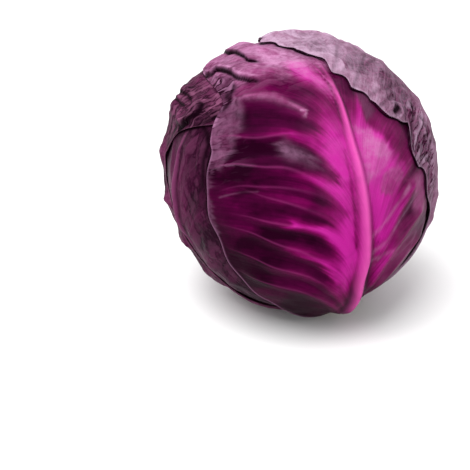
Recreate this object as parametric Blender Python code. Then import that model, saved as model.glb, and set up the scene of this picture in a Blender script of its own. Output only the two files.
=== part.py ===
# Red cabbage head, in metres, +Z up, resting on a small flat spot at the origin.
# The head is a stretched ball with its stump leaning to the front right. Leaves are
# thin shells laid over each other, each drawn in flat millimetres from its own middle.
import bpy
import numpy as np

# The head
HEAD_RADIUS = 78.8
STRETCH = 0.055
CROWN_FLAT = 0.015
SWELL = dict(azimuth=-80, latitude=48, roll=0, height=3.6, width=34)
CENTRE_HEIGHT = 81.5
LEAN = 17.0
TOWARD = -27.0

# Leaves are drawn flat at this many millimetres to a radian
DRAWN = 80.0

# The leaves: thickness, edge thickness, gap, and the height one leaf adds
THICK = 1.3
EDGE_THICK = 0.8
GAP = 0.6
LAYER = 2.5

# Where a leaf lies over another: how far past the edge it holds, and how wide it fades
OVERLAP_PAST = 10.0
OVERLAP_FADE = 14.0
EVEN_OUT = 26.0

# The head rests on the leaf with this place in the list below
REST_LEAF = 3

# The stump, its core inside the head, and the hollow round it
STUMP_RADIUS = 15.0
STUMP_REACH = 78.6
CORE_RADIUS = 7.0
CORE_DEPTH = 46.0
STUMP_CLEAR = 0.5
BASIN_DEPTH = 4.5
BASIN_WIDTH = 11.0
HEART_BASE = 66.0
HEART_CLEAR = 0.5

# Veins: their rise beside the midrib, and how fast they turn outward
VEIN_TURN = 15.0
VEIN_SLOPE = 0.15
VEIN_WIDTH = 4.2

# Leaves from the innermost to the outermost. Angles in degrees: azimuth from the front
# to the right, latitude toward the crown, and roll. Rim: bearing from the tip, positive
# to the leaf's own left, and the distance in millimetres from the leaf's middle.
LEAVES = [
    dict(name="back_leaf", azimuth=-165, latitude=5, roll=3, cells=(18, 24), seed=3,
         rim={0: 104, 30: 100, 60: 94, 90: 92, 120: 97, 150: 110, 168: 116, 180: 116,
              192: 116, 210: 110, 240: 98, 270: 94, 300: 96, 330: 100},
         veins=(-96, -70, -45, -18, 10, 38), vein_rise=48, vein_height=0.9,
         midrib=(3.6, 5.0), bulge=0.5, wave=(2.2, 9), lift=1.2),
    dict(name="left_leaf", azimuth=-65, latitude=0, roll=-8, cells=(18, 24), seed=5,
         rim={0: 92, 30: 90, 60: 84, 90: 84, 120: 92, 150: 102, 168: 109, 180: 109,
              192: 109, 210: 102, 240: 90, 270: 84, 300: 84, 330: 90},
         veins=(-92, -68, -42, -17, 12, 38), vein_rise=46, vein_height=0.8,
         midrib=(3.6, 5.0), bulge=0.6, wave=(2.2, 9), lift=1.2),
    dict(name="cap_leaf", azimuth=-115, latitude=30, roll=0, cells=(20, 26), seed=8,
         rim={0: 74, 30: 82, 60: 88, 90: 90, 120: 104, 150: 132, 166: 151, 180: 151,
              194: 151, 205: 138, 218: 112, 230: 82, 246: 50, 266: 42, 285: 50, 294: 63, 300: 79, 306: 97,
              318: 99, 330: 92, 345: 80},
         veins=(-118, -88, -58, -30, -2, 24), vein_rise=44, vein_height=1.0,
         midrib=(3.4, 5.0), bulge=1.0, wave=(2.4, 11), lift=1.0),
    dict(name="front_leaf", azimuth=25.4, latitude=7.1, roll=-6, cells=(28, 30), seed=2,
         rim={0: 118, 12: 128, 24: 136, 32: 132, 36: 122, 41: 92, 50: 88, 70: 87, 84: 89,
              105: 93, 125: 98, 150: 108, 165: 117, 174: 119, 186: 119, 200: 114,
              220: 100, 245: 82, 270: 70, 300: 72, 330: 84, 348: 104},
         veins=(-100, -81, -64, -42, -17, 8), vein_rise=54, vein_height=2.2,
         midrib=(5.2, 5.0), bulge=0.5, wave=(1.4, 13), lift=0.9, bend=13),
    dict(name="crown_leaf", azimuth=120, latitude=40, roll=0, cells=(22, 28), seed=13,
         rim={0: 74, 15: 77, 35: 73, 52: 79, 64: 84, 76: 83, 88: 86, 93: 77, 98: 84,
              103: 98, 114: 100, 122: 110, 132: 121, 142: 120, 152: 128, 168: 165, 180: 165,
              192: 165, 210: 150, 240: 108, 270: 92, 300: 80, 325: 66, 345: 66},
         veins=(-130, -100, -70, -40, -12, 16), vein_rise=44, vein_height=0.9,
         midrib=(3.8, 5.0), bulge=0.7, wave=(2.2, 19), lift=1.4),
]

# Colour, roughness and metallic of each named piece
LOOKS = {
    "stem": ((0.74, 0.66, 0.50), 0.55),
    "heart": ((0.16, 0.02, 0.13), 0.45),
    "back_leaf": ((0.20, 0.05, 0.17), 0.42),
    "left_leaf": ((0.12, 0.015, 0.10), 0.42),
    "cap_leaf": ((0.17, 0.04, 0.15), 0.45),
    "front_leaf": ((0.30, 0.01, 0.24), 0.36),
    "crown_leaf": ((0.24, 0.10, 0.22), 0.48),
}


def unit(vector):
    return vector / np.linalg.norm(vector)


def turn(degrees):
    return np.cos(np.radians(degrees)), np.sin(np.radians(degrees))


# Head axes: away from the stump, to the front, and to the right
def head_axes():
    (cos_lean, sin_lean), (cos_to, sin_to) = turn(LEAN), turn(TOWARD)
    crown = -np.array([sin_lean * cos_to, sin_lean * sin_to, -cos_lean])
    front = np.array([0.0, -1.0, 0.0])
    front = unit(front - front @ crown * crown)
    return crown, front, np.cross(crown, front)


CROWN, FRONT, RIGHT = head_axes()


# Leaf axes: its middle, toward its tip, and to its own left
def leaf_axes(leaf):
    (cos_az, sin_az), (cos_lat, sin_lat) = turn(leaf["azimuth"]), turn(leaf["latitude"])
    middle = cos_lat * (cos_az * FRONT + sin_az * RIGHT) + sin_lat * CROWN
    ahead = unit(CROWN - CROWN @ middle * middle)
    cos_roll, sin_roll = turn(leaf["roll"])
    ahead = cos_roll * ahead + sin_roll * np.cross(middle, ahead)
    return middle, ahead, np.cross(middle, ahead)


def smooth(low, high, value):
    t = np.clip((value - low) / (high - low), 0, 1)
    return t * t * (3 - 2 * t)


# Distance of the leaf's edge from its middle, with its waves
def rim_of(leaf, bearing, waves=1.0, soften=3):
    keys = np.array(sorted(leaf["rim"]), float)
    values = np.array([leaf["rim"][int(key)] for key in keys], float)
    degrees = np.degrees(bearing)
    plain = sum(weight * np.interp(degrees + shift * soften, keys, values, period=360)
                for shift, weight in ((-1.5, 0.15), (-0.7, 0.2), (0, 0.3), (0.7, 0.2), (1.5, 0.15)))
    size, count = leaf["wave"]
    ripple = np.sin(count * bearing + leaf["seed"]) * np.cos(4 * bearing + leaf["seed"])
    base = smooth(140, 160, np.abs((degrees + 180) % 360 - 180))
    return plain + waves * size * ripple * (1 - base)


# Flat place of a direction in the leaf's drawing, as bearing and distance
def flat_of(leaf, directions):
    middle, ahead, left = leaf_axes(leaf)
    x, y, z = directions @ left, directions @ ahead, directions @ middle
    return np.arctan2(x, y), np.arccos(np.clip(z, -1, 1)) * DRAWN


def direction_of(leaf, x, y):
    middle, ahead, left = leaf_axes(leaf)
    distance = np.hypot(x, y)
    angle = distance / DRAWN
    scale = np.sin(angle) / np.maximum(distance, 1e-9)
    return (np.cos(angle)[..., None] * middle + (scale * x)[..., None] * left
            + (scale * y)[..., None] * ahead)


# How much of a layer the leaf adds at a direction, from 1 on it to 0 past its edge
def cover(leaf, directions, past=OVERLAP_PAST, fade=OVERLAP_FADE):
    bearing, distance = flat_of(leaf, directions)
    nearby = [rim_of(leaf, bearing + shift, waves=0) for shift in (-0.11, 0, 0.11)]
    return 1 - smooth(past, past + fade, distance - np.max(nearby, axis=0))


# Radius of the body under the first count leaves, pressed flat at the rest spot
def radius_under(count, directions):
    along = directions @ CROWN
    off_stump = np.degrees(np.arccos(np.clip(-along, -1, 1)))
    base = HEAD_RADIUS * (1 + np.where(along < 0, STRETCH, -CROWN_FLAT) * along ** 2)
    base += SWELL["height"] * np.exp(-(flat_of(SWELL, directions)[1] / SWELL["width"]) ** 2)
    base -= BASIN_DEPTH * np.exp(-(off_stump / BASIN_WIDTH) ** 2)
    covers = [cover(leaf, directions) for leaf in LEAVES]
    for leaf in LEAVES:
        base -= LAYER * cover(leaf, directions, -EVEN_OUT, 2 * EVEN_OUT)
    full = base + LAYER * sum(covers[:REST_LEAF]) - (LAYER - GAP - THICK)
    down = np.maximum(-directions[..., 2], 1e-6)
    pressed = np.maximum(full - CENTRE_HEIGHT / down, 0)
    return base + LAYER * sum(covers[:count], np.zeros_like(base)) - pressed


# The front leaf's midrib bends toward the stump at its base
def midline(leaf, y):
    return -leaf.get("bend", 0) * np.clip((-70 - y) / 65, 0, 1) ** 1.5


# Ridge of the midrib: high and wide at the base, thin at the tip, with a groove each side
def midrib_height(leaf, x, y):
    height, width = leaf["midrib"]
    along = smooth(-130, 90, y)
    across = np.abs(x - midline(leaf, y))
    wide = width * (1 - 0.6 * along) + 4 * smooth(-75, -125, y)
    ridge = height * (1 - 0.7 * along) * (1 - 0.4 * smooth(-85, -120, y)) * np.exp(-(across / wide) ** 2)
    return ridge - 0.6 * (1 - along) * np.exp(-((across - 2.1 * wide) / wide) ** 2)


# Side veins: they leave along the midrib and turn outward
def vein_height(leaf, x, y):
    across = np.abs(x)
    turning = leaf["vein_rise"] * np.exp(-across / VEIN_TURN)
    slope = VEIN_SLOPE + turning / VEIN_TURN
    total = np.zeros_like(x)
    for step, start in enumerate(leaf["veins"]):
        shift = np.where(x > 0, 0.0, 9.0)
        line = start + shift + leaf["vein_rise"] - turning + VEIN_SLOPE * across
        line = line + 1.6 * np.sin(across / 13.0 + 1.9 * step)
        away = (y - line) / np.sqrt(1 + slope ** 2)
        total += np.exp(-(away / VEIN_WIDTH) ** 2)
    return leaf["vein_height"] * (total - 0.35) * smooth(4, 16, across)


# Soft swellings and crinkles, from a few seeded waves
def bulge_height(leaf, x, y):
    random = np.random.default_rng(leaf["seed"])
    total = np.zeros_like(x)
    for _ in range(5):
        heading, length, phase = random.uniform(0, 6.28), random.uniform(24, 46), random.uniform(0, 6.28)
        total += np.sin(6.28 * (x * np.cos(heading) + y * np.sin(heading)) / length + phase)
    return leaf["bulge"] * total * 0.4


# Folds: the pleat in the front leaf's upper left, and the cap leaf's crease
def fold_height(leaf, x, y):
    if leaf["name"] == "front_leaf":
        line = 68 + 0.86 * (x - 39)
        return 1.8 * smooth(-5, 3, y - line) * np.exp(-((y - line) / 26) ** 2) * smooth(26, 44, x)
    if leaf["name"] == "cap_leaf":
        return 0.7 * np.sin(0.34 * (y - 0.7 * x)) * smooth(-20, -45, x)
    return np.zeros_like(x)


# Height of the outer face over the leaf's own even shell, and the lift of its edge
def relief(index, leaf, x, y, directions):
    bearing, distance = np.arctan2(x, y), np.hypot(x, y)
    inside = np.maximum(rim_of(leaf, bearing) - distance, 0)
    count = leaf["wave"][1]
    height = (midrib_height(leaf, x, y) + vein_height(leaf, x, y) * smooth(0, 14, inside)
              + bulge_height(leaf, x, y) + fold_height(leaf, x, y))
    lift = leaf["lift"] * np.exp(-inside / 7) * (0.6 + 0.4 * np.sin(count * bearing))
    above = np.zeros_like(x)
    for other in LEAVES[index + 1:]:
        above = np.maximum(above, cover(other, directions, 8, 12))
    free = 1 - smooth(np.cos(np.radians(27)), np.cos(np.radians(17)), -directions[..., 2])
    height = height * free
    height = height + (np.clip(height, -0.2, 0.25) - height) * above
    return height, lift * free * (1 - above)


# Square grid bent into a round leaf: points in flat millimetres
def leaf_grid(leaf):
    across, along = (np.linspace(-1, 1, cells + 1) for cells in leaf["cells"])
    u, v = np.meshgrid(np.sign(across) * np.abs(across) ** 1.5, along, indexing="ij")
    disc_x = u * np.sqrt(1 - v ** 2 / 2)
    disc_y = v * np.sqrt(1 - u ** 2 / 2)
    bearing = np.arctan2(disc_x, disc_y)
    part = np.hypot(disc_x, disc_y)
    even = rim_of(leaf, bearing, waves=0, soften=16)
    distance = part * (even + (rim_of(leaf, bearing) - even) * part ** 4)
    y = distance * np.cos(bearing)
    return distance * np.sin(bearing) + midline(leaf, y) * (1 - part ** 2), y, part


# Two grids of points joined round their edge into one closed shell
def shell(outer, inner):
    rows, columns = outer.shape[:2]
    index = np.arange(rows * columns).reshape(rows, columns)
    a, b, c, d = index[:-1, :-1], index[1:, :-1], index[1:, 1:], index[:-1, 1:]
    flip = ((np.arange(rows - 1)[:, None] < rows // 2) ^ (np.arange(columns - 1) < columns // 2))
    first = np.where(flip[..., None], np.stack([a, b, c], -1), np.stack([a, b, d], -1))
    second = np.where(flip[..., None], np.stack([a, c, d], -1), np.stack([b, c, d], -1))
    faces = np.concatenate([first.reshape(-1, 3), second.reshape(-1, 3)])
    loop = np.concatenate([index[:-1, 0], index[-1, :-1], index[:0:-1, -1], index[0, :0:-1]])
    after, under = np.roll(loop, -1), rows * columns
    wall = np.concatenate([np.stack([loop, loop + under, after + under], -1),
                           np.stack([loop, after + under, after], -1)])
    faces = np.concatenate([faces, faces[:, ::-1] + under, wall])
    return np.concatenate([outer.reshape(-1, 3), inner.reshape(-1, 3)]), faces


def add_object(name, points, faces):
    mesh = bpy.data.meshes.new(name)
    placed = points * 0.001 + np.array([0.0, 0.0, CENTRE_HEIGHT * 0.001])
    corners = placed[faces] - placed.mean(axis=0)
    if np.einsum("ij,ij->i", corners[:, 0], np.cross(corners[:, 1], corners[:, 2])).sum() < 0:
        faces = faces[:, ::-1]
    mesh.from_pydata(placed.tolist(), [], faces.tolist())
    item = bpy.data.objects.new(name, mesh)
    bpy.context.collection.objects.link(item)
    colour, roughness = LOOKS[name]
    material = bpy.data.materials.new(name)
    material.use_nodes = True
    shader = material.node_tree.nodes["Principled BSDF"]
    shader.inputs["Base Color"].default_value = (*colour, 1)
    shader.inputs["Roughness"].default_value = roughness
    shader.inputs["Metallic"].default_value = 0
    mesh.materials.append(material)
    mesh.shade_smooth()
    return item


def build_leaf(index, leaf):
    x, y, part = leaf_grid(leaf)
    directions = direction_of(leaf, x, y)
    floor = radius_under(index, directions) + GAP
    height, lift = relief(index, leaf, x, y, directions)
    thin = smooth(0.8, 1.0, part) * smooth(-110, -85, y)
    thick = THICK - (THICK - EDGE_THICK) * thin
    top = floor + lift + np.maximum(thick + height, EDGE_THICK)
    top = np.minimum(top, CENTRE_HEIGHT / np.maximum(-directions[..., 2], 0.1))
    points, faces = shell(directions * top[..., None], directions * (floor + lift)[..., None])
    add_object(leaf["name"], points, faces)


# Heart: rings from the crown down to the stump's socket, then the socket's wall
def build_heart():
    rings, spokes = 26, 36
    edge = np.arcsin((STUMP_RADIUS + 2 * STUMP_CLEAR) / HEART_BASE)
    angles = np.linspace(0, np.pi - edge, rings + 1)[1:]
    turns = np.linspace(0, 2 * np.pi, spokes, endpoint=False)
    a, t = np.meshgrid(angles, turns, indexing="ij")
    sides = np.cos(t)[..., None] * FRONT + np.sin(t)[..., None] * RIGHT
    directions = np.sin(a)[..., None] * sides + np.cos(a)[..., None] * CROWN
    outside = directions * (radius_under(0, directions) - HEART_CLEAR)[..., None]
    walls = [(radius + STUMP_CLEAR, depth) for radius, depth in core_profile()]
    inside = [radius * sides[0] - depth * CROWN for radius, depth in walls]
    tops = CROWN * (radius_under(0, CROWN[None])[0] - HEART_CLEAR)
    ends = -CROWN * (CORE_DEPTH - 3 * STUMP_CLEAR)
    add_object("heart", *closed_rings(tops, [*outside, *inside], ends))


# Radius and depth below the middle along the core, from the heart's surface inward
def core_profile():
    waist = 0.5 * (STUMP_RADIUS + CORE_RADIUS)
    return [(STUMP_RADIUS, HEART_BASE - 4), (waist, HEART_BASE - 11), (CORE_RADIUS, CORE_DEPTH + 2)]


# Closed body from a pole, rings of equal count, and a second pole
def closed_rings(first, rings, last):
    spokes = len(rings[0])
    points = np.concatenate([[first], *rings, [last]])
    here = np.arange(spokes)
    ahead = np.roll(here, -1)
    faces = [np.stack([np.zeros_like(here), 1 + here, 1 + ahead], -1)]
    for step in range(len(rings) - 1):
        low, high = 1 + step * spokes, 1 + (step + 1) * spokes
        faces.append(np.stack([low + here, high + here, high + ahead], -1))
        faces.append(np.stack([low + here, high + ahead, low + ahead], -1))
    base = 1 + (len(rings) - 1) * spokes
    faces.append(np.stack([base + here, np.full_like(here, len(points) - 1), base + ahead], -1))
    return points, np.concatenate(faces)


# Stem: the cut face, a slightly worn edge, the stump and the tapered core
def build_stem():
    turns = np.linspace(0, 2 * np.pi, 32, endpoint=False)
    sides = np.cos(turns)[:, None] * FRONT + np.sin(turns)[:, None] * RIGHT
    profile = [(STUMP_RADIUS - 1.2, STUMP_REACH), (STUMP_RADIUS, STUMP_REACH - 1.0), *core_profile()]
    rings = [radius * sides - depth * CROWN for radius, depth in profile]
    add_object("stem", *closed_rings(-CROWN * STUMP_REACH, rings, -CROWN * CORE_DEPTH))


for old in list(bpy.data.objects):
    bpy.data.objects.remove(old, do_unlink=True)
build_stem()
build_heart()
for number, entry in enumerate(LEAVES):
    build_leaf(number, entry)
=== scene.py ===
import bpy
import numpy as np
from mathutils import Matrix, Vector


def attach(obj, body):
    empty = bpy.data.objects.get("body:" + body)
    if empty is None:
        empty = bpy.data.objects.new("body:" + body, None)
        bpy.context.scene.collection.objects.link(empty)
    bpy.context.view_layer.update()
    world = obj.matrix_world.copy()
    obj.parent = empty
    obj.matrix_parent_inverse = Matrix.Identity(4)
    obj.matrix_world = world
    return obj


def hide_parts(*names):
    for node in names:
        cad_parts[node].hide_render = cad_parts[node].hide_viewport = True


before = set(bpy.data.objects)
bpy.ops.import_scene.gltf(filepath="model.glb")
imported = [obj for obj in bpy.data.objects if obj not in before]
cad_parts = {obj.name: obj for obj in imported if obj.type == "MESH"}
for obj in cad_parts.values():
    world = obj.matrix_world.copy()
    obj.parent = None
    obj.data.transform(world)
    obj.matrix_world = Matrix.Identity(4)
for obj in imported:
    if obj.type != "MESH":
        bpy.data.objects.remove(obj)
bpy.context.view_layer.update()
print("frame loaded:", ", ".join(sorted(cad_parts)))

# Lengths are in millimetres and angles in degrees until a mesh is made.
# Head: stretched below, its middle at height, with a swelling at the upper left and a basin
# round the stump. Leaves are drawn flat on a ball of radius drawn; it rests on restLeaf leaves.
head = dict(
    radius=78.8, stretch=0.055, crownFlat=0.015, height=81.5, lean=17.0, toward=-27.0,
    swell=dict(azimuth=-80, latitude=48, roll=0), swellHeight=3.6, swellWidth=34.0,
    basinDepth=4.5, basinWidth=11.0, drawn=80.0, restLeaf=3,
)
# Thickness and gap of a leaf, here and at its rim; it lifts the next by step, as far as past
# its edge, and the body sinks again beneath it over evenOut on either side
layers = dict(thick=1.3, edge=0.4, gap=0.6, edgeGap=0.05, step=2.5, past=10.0, fade=14.0,
              evenOut=26.0)
latticeSize, latticeShift = 61, 300  # cells before a noise repeats, and a shift above zero
millimetre = 0.001  # in metres


def unit(v):  # v / |v|
    return v / np.linalg.norm(v)


def smooth(low, high, value):  # 3t^2 - 2t^3 between low and high
    t = np.clip((value - low) / (high - low), 0, 1)
    return t * t * (3 - 2 * t)


def hill(value, width):  # exp(-(value / width)^2)
    return np.exp(-(value / width) ** 2)


def turned(degrees):  # cosine and sine
    return np.cos(np.radians(degrees)), np.sin(np.radians(degrees))


# Place on a square lattice, in cells, and the whole cell below it
def onLattice(x, y, cell):
    fx, fy = x / cell + latticeShift, y / cell + latticeShift
    return fx, fy, np.floor(fx).astype(int), np.floor(fy).astype(int)


# Value noise: random heights on a square lattice, blended with 3t^2 - 2t^3, from -1 to 1
def noise(x, y, cell, seed):
    lattice = np.random.default_rng(seed).uniform(-1, 1, (latticeSize, latticeSize))
    fx, fy, ix, iy = onLattice(x, y, cell)
    tx, ty = smooth(0, 1, fx - ix), smooth(0, 1, fy - iy)

    def at(i, j):
        return lattice[i % latticeSize, j % latticeSize]
    low = at(ix, iy) * (1 - tx) + at(ix + 1, iy) * tx
    high = at(ix, iy + 1) * (1 - tx) + at(ix + 1, iy + 1) * tx
    return low * (1 - ty) + high * ty


# Sum of octaves of that noise, each half as large and half as high, and moved aside
def rough(x, y, cell, seed, octaves=3, aside=(7.3, -3.1)):
    total = sum(noise(x + aside[0] * k, y + aside[1] * k, cell / 2 ** k, seed + k) * 0.5 ** k
                for k in range(octaves))
    return total / (2 - 0.5 ** (octaves - 1))


# Distance to a polyline of a few points, how far along it, and 1 on its left or -1
def toLine(x, y, points):
    best, along, side = np.full(x.shape, 1e9), np.zeros(x.shape), np.ones(x.shape)
    count = len(points) - 1
    for k in range(count):
        (ax, ay), (bx, by) = points[k], points[k + 1]
        lengthSquared = (bx - ax) ** 2 + (by - ay) ** 2
        t = np.clip(((x - ax) * (bx - ax) + (y - ay) * (by - ay)) / lengthSquared, 0, 1)
        away = np.hypot(x - ax - t * (bx - ax), y - ay - t * (by - ay))
        nearer = away < best
        along = np.where(nearer, (k + t) / count, along)
        side = np.where(nearer, np.sign((bx - ax) * (y - ay) - (by - ay) * (x - ax)), side)
        best = np.minimum(best, away)
    return best, along, side


# dark and darkAt: the painted shadow line under a lip; crestAt and crest: its painted highlight
lip = dict(sway=1.2, cell=7, seed=337, fadeIn=0.25, reaches=4, half=1.0, dip=0.6, dipAt=1.4,
           thinnest=0.35, thickBy=0.6, dark=1.8, darkAt=0.45, crestAt=2.2, crest=1.5)


# Lips: the leaf to the left of each line folds over its right: a step that dies away within reach,
# a dip and a painted shadow line under it that thins toward its first point, and a painted
# highlight on its crest. Each is points, height, reach and the line's width.
def lips(x, y, entries):
    height, shut, lit = np.zeros(x.shape), np.zeros(x.shape), np.zeros(x.shape)
    sway = lip["sway"] * rough(x, y, lip["cell"], lip["seed"], 2)
    for points, tall, reach, line in entries:
        away, along, side = toLine(x + sway, y - sway, points)
        ends = smooth(0, lip["fadeIn"], along) * (away < lip["reaches"] * reach)
        across = side * away
        height += tall * ends * smooth(-lip["half"], lip["half"], across) * np.exp(-away / reach)
        height -= lip["dip"] * tall * ends * hill(across + lip["dipAt"], lip["dipAt"])
        thin = line * (lip["thinnest"] + (1 - lip["thinnest"]) * smooth(0, lip["thickBy"], along))
        shut = np.maximum(shut, lip["dark"] * ends * hill(across + lip["darkAt"] * thin, thin))
        lit = np.maximum(lit, ends * hill(across - lip["crestAt"], lip["crest"]))
    return height, shut, lit


# Soft strokes: each is points, width and its strength, or one for each end;
# exp(-(distance / width)^2), a little frayed, with every strand shifted by its own drift
def strokes(x, y, entries, drift=(0, 0), fray=0.45, broad=4):
    total = np.zeros(x.shape)
    if not entries:
        return total
    swayX, swayY = rough(x, y, 11, 311, 2), rough(x, y, 9, 317, 2)
    for points, width, first, *last in entries:
        change = (last[0] if last else first) - first
        far, sway = min(1, width / broad), fray * width
        away, along, _ = toLine(x + sway * swayX + far * drift[0],
                                y + sway * swayY + far * drift[1], points)
        total = np.maximum(total, (first + change * along) * hill(away, width))
    return total


# Patch: 3t^2 - 2t^3 of the least distance inside any side of a convex outline, whose edge
# is ragged by a noise
def patch(x, y, corners, soft, ragged=1.5):
    least = np.full(x.shape, 1e9)
    sides = list(zip(corners, corners[1:] + corners[:1]))
    turning = sum(ax * by - bx * ay for (ax, ay), (bx, by) in sides)
    for (ax, ay), (bx, by) in sides:
        inward = ((bx - ax) * (y - ay) - (by - ay) * (x - ax)) / np.hypot(bx - ax, by - ay)
        least = np.minimum(least, inward if turning > 0 else -inward)
    return smooth(-soft, soft, least + ragged * rough(x, y, 8, 331, 2))


# Facets: cells of a jittered lattice, each a tilted flat weighted by exp(-sharp d^2), so that two
# blend where they meet; gives the height, how close a point is to a crease, and a painted shade for
# each flat
def facets(x, y, cell, seed, sharp=9.0, level=0.3, creased=(0.55, 0.85)):
    random = np.random.default_rng(seed)
    jitter = random.uniform(0.1, 0.9, (2, latticeSize, latticeSize))
    tilt = random.uniform(-1, 1, (3, latticeSize, latticeSize))
    fx, fy, ix, iy = onLattice(x, y, cell)
    total, shade = np.zeros(x.shape), np.zeros(x.shape)
    weights, most = np.full(x.shape, 1e-9), np.zeros(x.shape)
    for i in (-1, 0, 1):
        for j in (-1, 0, 1):
            a, b = (ix + i) % latticeSize, (iy + j) % latticeSize
            dx, dy = fx - ix - i - jitter[0, a, b], fy - iy - j - jitter[1, a, b]
            weight = np.exp(-sharp * (dx ** 2 + dy ** 2))
            total += weight * (tilt[0, a, b] * dx + tilt[1, a, b] * dy + level * tilt[2, a, b])
            shade += weight * tilt[2, a, b]
            weights += weight
            most = np.maximum(most, weight)
    return total / weights, 1 - smooth(*creased, most / weights), shade / weights


# The head's own way up, tipped from straight up by lean; its front, square to that; its right
def headAxes():
    (cosLean, sinLean), (cosTo, sinTo) = turned(head["lean"]), turned(head["toward"])
    crown = -np.array([sinLean * cosTo, sinLean * sinTo, -cosLean])
    front = np.array([0.0, -1.0, 0.0])
    front = unit(front - front @ crown * crown)
    return crown, front, np.cross(crown, front)


crownWay, frontWay, rightWay = headAxes()


# A leaf's middle, the way to its tip, and the way to its own left
def leafAxes(leaf):
    (cosA, sinA), (cosL, sinL) = turned(leaf["azimuth"]), turned(leaf["latitude"])
    middle = cosL * (cosA * frontWay + sinA * rightWay) + sinL * crownWay
    ahead = unit(crownWay - crownWay @ middle * middle)
    cosR, sinR = turned(leaf["roll"])
    ahead = cosR * ahead + sinR * np.cross(middle, ahead)
    return middle, ahead, np.cross(middle, ahead)


# Direction to flat drawing: bearing from the tip, and arc from the middle in millimetres
def flatOf(leaf, ways):
    middle, ahead, left = leafAxes(leaf)
    return (np.arctan2(ways @ left, ways @ ahead),
            np.arccos(np.clip(ways @ middle, -1, 1)) * head["drawn"])


# Flat drawing to direction: cos(d) middle + sin(d) (x left + y ahead) / d
def wayOf(leaf, x, y):
    middle, ahead, left = leafAxes(leaf)
    distance = np.hypot(x, y)
    angle = distance / head["drawn"]
    scale = np.sin(angle) / np.maximum(distance, 1e-9)
    return (np.cos(angle)[..., None] * middle + (scale * x)[..., None] * left
            + (scale * y)[..., None] * ahead)


rimBlur = ((-1.5, 0.15), (-0.7, 0.2), (0, 0.3), (0.7, 0.2), (1.5, 0.15))  # shift and weight


# Distance from the middle to the leaf's edge at a bearing: its rim's points joined and
# blurred, plus size sin(count b) cos(4 b) and scallops |sin(half b)|, none at the base
def rimOf(leaf, bearing, waves=1.0, soften=3):
    soften = leaf.get("soften", soften) if waves else soften
    keys = np.array(sorted(leaf["rim"]), float)
    values = np.array([leaf["rim"][int(key)] for key in keys], float)
    degrees = np.degrees(bearing)
    plain = sum(weight * np.interp(degrees + shift * soften, keys, values, period=360)
                for shift, weight in rimBlur)
    size, count = leaf["wave"]
    ripple = size * np.sin(count * bearing + leaf["seed"]) * np.cos(4 * bearing + leaf["seed"])
    if "scallop" in leaf:
        depth, half, start = leaf["scallop"]
        arcs = np.sqrt(np.sin(half * bearing + start + 0.25 * np.sin(5 * bearing)) ** 2 + 0.01)
        ripple += depth * (0.75 + 0.25 * np.sin(7 * bearing)) * (0.55 - arcs)
    base = smooth(140, 160, np.abs((degrees + 180) % 360 - 180))
    return plain + waves * ripple * (1 - base)


# How much of a layer a leaf adds at a direction: 1 on it, 0 well past its edge, which is
# taken at its farthest within beside radians
def cover(leaf, ways, past=layers["past"], fade=layers["fade"], beside=0.11):
    bearing, distance = flatOf(leaf, ways)
    nearby = [rimOf(leaf, bearing + shift, waves=0) for shift in (-beside, 0, beside)]
    return 1 - smooth(past, past + fade, distance - np.max(nearby, axis=0))


# Radius of the body under the first count leaves: radius (1 + stretch cos^2) with the swelling
# and the basin, one step for each leaf, pressed flat at the rest spot
def radiusUnder(count, ways):
    along = ways @ crownWay
    offStump = np.degrees(np.arccos(np.clip(-along, -1, 1)))
    drawnOut = np.where(along < 0, head["stretch"], -head["crownFlat"])
    base = head["radius"] * (1 + drawnOut * along ** 2)
    base += head["swellHeight"] * hill(flatOf(head["swell"], ways)[1], head["swellWidth"])
    base -= head["basinDepth"] * hill(offStump, head["basinWidth"])
    covers = [cover(leaf, ways) for leaf in leaves]
    for leaf in leaves:
        base -= layers["step"] * cover(leaf, ways, -layers["evenOut"], 2 * layers["evenOut"])
    full = (base + layers["step"] * sum(covers[:head["restLeaf"]])
            - (layers["step"] - layers["gap"] - layers["thick"]))
    pressed = np.maximum(full - head["height"] / np.maximum(-ways[..., 2], 1e-6), 0)
    return base + layers["step"] * sum(covers[:count], np.zeros_like(base)) - pressed


# Leaves. Rim: bearing from the tip, positive to the leaf's own left, to the distance from its
# middle. A vein leaves the midrib at start, rises by rise while it turns outward over turn, and
# then climbs by slope; side is 1 for the leaf's left and -1 for its right. grow is rise, turn and
# slope of the fibres between the veins, midrib height and width, facet size and height, wave size
# and count, and tone the base, what a vein adds, and the glow by the midrib. Strokes and patches
# are points in the leaf's flat drawing; a patch is then softness, tone, wax with its painted sheen,
# and amount. Dark strokes paint dark bands of the leaf and painted shade in folds, pockets and at
# the foot; bright strokes paint pale bands and painted highlights on folds; wax strokes paint bloom
# and painted sheen; crease and lips strokes paint shade in their folds, and raised and lips strokes
# paint highlights on their crests.
def vein(side, start, rise, turn, slope, strength=1.0, reach=90.0, wobble=0.0):
    return dict(side=side, start=start, rise=rise, turn=turn, slope=slope, strength=strength,
                reach=reach, wobble=wobble)


def evenVeins(starts, rise, turn=15.0, slope=0.15, shift=9.0):
    return [vein(side, start + (0 if side > 0 else shift), rise, turn, slope, 1.0, 90.0, 1.9 * k)
            for side in (1, -1) for k, start in enumerate(starts)]


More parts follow.
